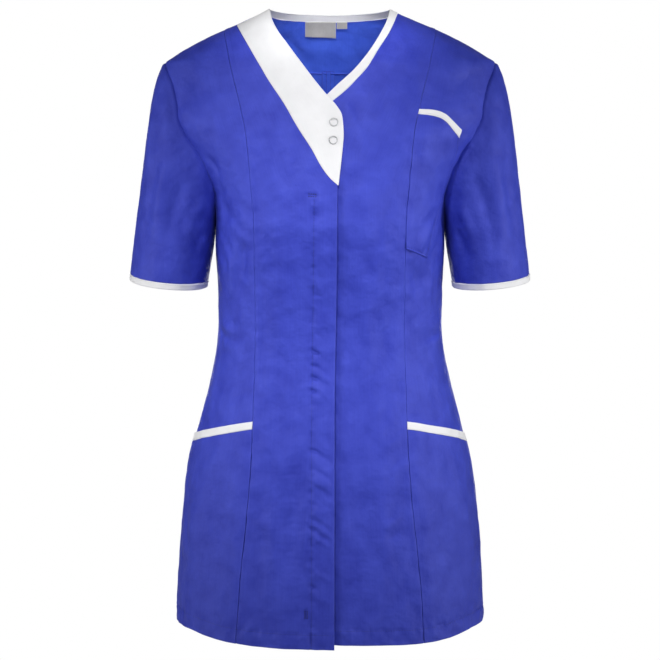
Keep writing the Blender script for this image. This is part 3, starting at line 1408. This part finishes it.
def new_group(name, inputs, outputs):
    """A shader node group with named number inputs and outputs, and its two end nodes."""
    group = bpy.data.node_groups.new(name, "ShaderNodeTree")
    for title, value in inputs.items():
        socket = group.interface.new_socket(title, in_out="INPUT", socket_type="NodeSocketFloat")
        socket.default_value = value
    for title in outputs:
        group.interface.new_socket(title, in_out="OUTPUT", socket_type="NodeSocketFloat")
    given = group.nodes.new("NodeGroupInput")
    result = group.nodes.new("NodeGroupOutput")
    return group, given.outputs, result.inputs


def threads_at(tree):
    """Where a point lies on the flat cloth, across and down, in metres."""
    uv = add_node(tree, "ShaderNodeUVMap", uv_map="threads")
    split = add_node(tree, "ShaderNodeSeparateXYZ", {"Vector": uv.outputs["UV"]})
    return split.outputs["X"], split.outputs["Y"]


def make_weave_group():
    """A twill: each thread passes over two and under one, one step further along in every row."""
    group, given, result = new_group(
        "twill weave", {"Threads per metre": 2200.0}, ("Height", "Slub"))
    across, down = threads_at(group)
    warp = calc(group, "MULTIPLY", across, given["Threads per metre"])
    weft = calc(group, "MULTIPLY", down, given["Threads per metre"])
    rounds = [
        calc(group, "ABSOLUTE", calc(group, "SINE", calc(group, "MULTIPLY", thread, math.pi)))
        for thread in (warp, weft)
    ]
    row = calc(group, "ADD", calc(group, "FLOOR", warp), calc(group, "FLOOR", weft))
    over = calc(group, "LESS_THAN", calc(group, "FRACT", calc(group, "DIVIDE", row, 3.0)), 0.6)
    low = calc(group, "MULTIPLY", rounds[1], 0.7)
    high = calc(group, "MULTIPLY", rounds[0], over)
    group.links.new(calc(group, "MAXIMUM", high, low), result["Height"])
    place = add_node(group, "ShaderNodeCombineXYZ", {
        "X": calc(group, "MULTIPLY", across, 700.0), "Y": calc(group, "MULTIPLY", down, 16.0),
    })
    group.links.new(add_noise(group, place.outputs[0], 1.0, 3.0, 0.6), result["Slub"])
    return group


def make_wear_group():
    """Soft mottling of handled cloth, lint, and rubbed edges."""
    group, given, result = new_group(
        "handled cloth", {"Mottle size": 42.0}, ("Mottle", "Lint", "Rubbed"))
    place = add_node(group, "ShaderNodeTexCoord").outputs["Object"]
    group.links.new(add_noise(group, place, given["Mottle size"], 3.0), result["Mottle"])
    group.links.new(add_noise(group, place, 900.0, 2.0, 0.7), result["Lint"])
    edge = add_node(group, "ShaderNodeAttribute", attribute_name="worn").outputs["Fac"]
    patchy = add_noise(group, place, 160.0, 3.0)
    group.links.new(calc(group, "MULTIPLY", edge, patchy), result["Rubbed"])
    return group


def new_material(name):
    made = bpy.data.materials.new(name)
    made.use_nodes = True
    tree = made.node_tree
    return made, tree, tree.nodes["Principled BSDF"]


def opaque(colour):
    return (*colour, 1.0)


def blend_colours(tree, share, a, b):
    """Blends two colours. Inputs 6 and 7 and output 2 of the mix node are those for colours."""
    made = add_node(tree, "ShaderNodeMix", {0: share, 6: a, 7: b}, data_type="RGBA")
    return made.outputs[2]


Finish = namedtuple("Finish", "dark light rubbed roughness sheen sheen_tint threads bump crumple")
LOOKS = {
    "blue": Finish(
        (0.024, 0.037, 0.41), (0.054, 0.078, 0.585), (0.09, 0.12, 0.64),
        0.54, 0.02, (0.55, 0.60, 1.0), 2200.0, 0.35, 0.9),
    "reverse": Finish(
        (0.036, 0.088, 0.62), (0.064, 0.142, 0.80), (0.10, 0.19, 0.82),
        0.75, 0.1, (0.6, 0.7, 1.0), 2200.0, 0.35, 0.9),
    "white": Finish(
        (0.76, 0.76, 0.78), (0.84, 0.84, 0.86), (0.86, 0.86, 0.87),
        0.8, 0.12, (1, 1, 1), 2400.0, 0.3, 0.25),
    "tape": Finish(
        (0.86, 0.86, 0.88), (0.92, 0.92, 0.94), (0.93, 0.93, 0.94),
        0.8, 0.12, (1, 1, 1), 2400.0, 0.3, 0.2),
    "grey": Finish(
        (0.34, 0.33, 0.32), (0.50, 0.49, 0.48), (0.7, 0.69, 0.66),
        0.5, 0.3, (1, 0.98, 0.95), 3600.0, 0.25, 0.3),
    "blue thread": Finish(
        (0.016, 0.022, 0.17), (0.03, 0.042, 0.28), (0.05, 0.065, 0.36),
        0.6, 0.2, (0.6, 0.65, 1.0), 4000.0, 0.3, 0.1),
    "white thread": Finish(
        (0.78, 0.78, 0.80), (0.9, 0.9, 0.91), (0.93, 0.93, 0.94),
        0.6, 0.15, (1, 1, 1), 4000.0, 0.3, 0.1),
}
STEEL_DARK, STEEL_LIGHT = (0.40, 0.40, 0.42), (0.64, 0.64, 0.66)


def cloth_material(name, groups, look):
    made, tree, shader = new_material(name)
    weave = add_node(tree, "ShaderNodeGroup", node_tree=groups["weave"])
    weave.inputs["Threads per metre"].default_value = look.threads
    wear = add_node(tree, "ShaderNodeGroup", node_tree=groups["wear"])
    tone = calc(tree, "ADD", calc(tree, "MULTIPLY", weave.outputs["Slub"], 0.45),
                calc(tree, "MULTIPLY_ADD", wear.outputs["Mottle"], 1.5, -0.57))
    tone = calc(tree, "ADD", tone, calc(tree, "MULTIPLY", weave.outputs["Height"], 0.22))
    colour = blend_colours(tree, tone, opaque(look.dark), opaque(look.light))
    colour = blend_colours(tree, calc(tree, "MULTIPLY", wear.outputs["Rubbed"], 0.3), colour,
                           opaque(look.rubbed))
    tree.links.new(colour, shader.inputs["Base Color"])
    rough = calc(tree, "ADD", look.roughness - 0.06,
                 calc(tree, "MULTIPLY", wear.outputs["Lint"], 0.12))
    tree.links.new(rough, shader.inputs["Roughness"])
    for title, value in {
        "Sheen Weight": look.sheen, "Sheen Roughness": 0.5, "Sheen Tint": opaque(look.sheen_tint),
        "Specular IOR Level": 0.25,
    }.items():
        shader.inputs[title].default_value = value
    height = calc(tree, "ADD", calc(tree, "MULTIPLY", weave.outputs["Height"], 0.6),
                  calc(tree, "MULTIPLY", weave.outputs["Slub"], 0.5))
    woven = add_bump(tree, height, look.bump, 0.0003)
    crumpled = add_bump(tree, wear.outputs["Mottle"], look.crumple, 0.0034, woven)
    tree.links.new(crumpled, shader.inputs["Normal"])
    return made


def steel_material():
    made, tree, shader = new_material("ring steel")
    shader.inputs["Metallic"].default_value = 1.0
    place = add_node(tree, "ShaderNodeTexCoord").outputs["Object"]
    stain = add_noise(tree, place, 500.0, 3.0)
    colour = blend_colours(tree, stain, opaque(STEEL_DARK), opaque(STEEL_LIGHT))
    tree.links.new(colour, shader.inputs["Base Color"])
    rough = calc(tree, "ADD", 0.18, calc(tree, "MULTIPLY", stain, 0.25))
    tree.links.new(rough, shader.inputs["Roughness"])
    fine = add_noise(tree, place, 4000.0, 2.0)
    tree.links.new(add_bump(tree, fine, 0.15, 0.0001), shader.inputs["Normal"])
    return made


def make_materials():
    groups = {"weave": make_weave_group(), "wear": make_wear_group()}
    surfaces = {name: cloth_material(f"tunic {name}", groups, look) for name, look in LOOKS.items()}
    surfaces["steel"] = steel_material()
    return surfaces


# The studio, in metres, degrees and watts

FLOOR = -1.37          # where the wearer would stand
FLOOR_RADIUS = 40.0
SKY = 0.1              # how strongly the sky lights the cloth
CAMERA_PLACE = (0, -2.6, -0.158)
CAMERA_DOWN = 4.92     # how far it looks down
LENS, SENSOR = 118.6, 36.0

Softbox = namedtuple("Softbox", "name place aim width height power")
SOFTBOXES = [
    Softbox("left_fill", (-2.6, -0.9, -0.2), (0, 0, -0.35), 1.6, 1.6, 24),
    Softbox("right_fill", (2.6, -0.9, -0.2), (0, 0, -0.35), 1.6, 1.6, 30),
    Softbox("back_light", (0.0, 3.0, -0.3), (0, 0, -0.3), 2.0, 1.6, 45),
]
# Round soft lamps, whose light fades evenly from the middle of a cone. One is a flat slit.
Spot = namedtuple("Spot", "name place aim radius cone power flatten", defaults=(1.0,))
SPOTS = [
    Spot("key_light", (-0.4, -1.7, 1.7), (0.0, -0.1, -0.38), 0.12, 15, 175),
    Spot("left_light", (-2.2, -1.2, 0.4), (0.0, -0.1, -0.32), 0.12, 18, 36),
    Spot("right_light", (2.2, -1.2, 0.2), (0.0, -0.1, -0.32), 0.12, 18, 50),
    Spot("centre_light", (0.2, -2.9, -0.1), (0.0, -0.1, -0.30), 0.25, 16, 88),
    Spot("neck_light", (0.0, -1.7, 0.9), (0.0, 0.07, -0.03), 0.08, 8.5, 120),
    Spot("collar_light", (0.0, -2.5, -0.12), (0.0, 0.065, -0.008), 0.05, 10, 240, 0.12),
]


def place_light(data, row):
    """Adds the lamp of a row, turned from its place to its aim, and returns it."""
    data.energy = row.power
    light = bpy.data.objects.new(row.name, data)
    light.location = row.place
    light.rotation_euler = (Vector(row.aim) - Vector(row.place)).to_track_quat("-Z", "Y").to_euler()
    bpy.context.collection.objects.link(light)
    return light


def make_lights():
    for row in SOFTBOXES:
        data = bpy.data.lights.new(row.name, "AREA")
        data.shape = "RECTANGLE"
        data.size, data.size_y = row.width, row.height
        place_light(data, row)
    for row in SPOTS:
        data = bpy.data.lights.new(row.name, "SPOT")
        data.shadow_soft_size = row.radius
        data.spot_size, data.spot_blend = math.radians(row.cone), 1.0
        place_light(data, row).scale = (1.0, row.flatten, 1.0)


def white_to_camera(tree, lit, white, output):
    """Shows a surface or the sky in its own light, but plain white to the camera itself."""
    seen = add_node(tree, "ShaderNodeLightPath").outputs["Is Camera Ray"]
    both = add_node(tree, "ShaderNodeMixShader", {0: seen, 1: lit, 2: white})
    tree.links.new(both.outputs[0], tree.nodes[output].inputs["Surface"])


def make_studio():
    bm = bmesh.new()
    bmesh.ops.create_circle(bm, cap_ends=True, segments=64, radius=FLOOR_RADIUS,
                            matrix=Matrix.Translation((0, 0, FLOOR)))
    floor = add_mesh("studio_floor", bm)
    surface, tree, shader = new_material("studio floor")
    shader.inputs["Base Color"].default_value = (0.9, 0.9, 0.9, 1)
    shader.inputs["Roughness"].default_value = 0.9
    white = add_node(tree, "ShaderNodeEmission", {"Color": (1, 1, 1, 1), "Strength": 1.0})
    white_to_camera(tree, shader.outputs["BSDF"], white.outputs["Emission"], "Material Output")
    floor.data.materials.append(surface)

    world = bpy.data.worlds.new("studio")
    world.use_nodes = True
    tree = world.node_tree
    soft = tree.nodes["Background"]
    soft.inputs["Color"].default_value = (1, 1, 1, 1)
    soft.inputs["Strength"].default_value = SKY
    white = add_node(tree, "ShaderNodeBackground", {"Color": (1, 1, 1, 1), "Strength": 1.0})
    white_to_camera(tree, soft.outputs[0], white.outputs[0], "World Output")
    bpy.context.scene.world = world
    make_lights()

    data = bpy.data.cameras.new("camera")
    data.lens, data.sensor_width = LENS, SENSOR
    camera = bpy.data.objects.new("camera", data)
    camera.location = CAMERA_PLACE
    camera.rotation_euler = (math.radians(90 - CAMERA_DOWN), 0, 0)
    bpy.context.collection.objects.link(camera)
    bpy.context.scene.camera = camera
    bpy.context.scene.view_settings.view_transform = "Standard"


def main():
    surfaces = make_materials()
    blue = Fabric((surfaces["blue"], surfaces["reverse"]), "royal_blue_cloth")
    white = Fabric((surfaces["white"],), "white_trim_cloth")
    tape = Fabric((surfaces["tape"],), "white_trim_cloth")
    grey = Fabric((surfaces["grey"],), "label_cloth")
    make_fronts(blue)
    make_neck_trim(white)
    make_back(blue, white)
    make_sleeves(blue, tape)
    for name, side in (("right", -1), ("left", 1)):
        make_hip_pocket(blue, tape, name, side)
    make_chest_pocket(blue, tape)
    make_labels(grey)
    make_studs(surfaces["steel"])
    make_stitches(surfaces)
    make_studio()


main()
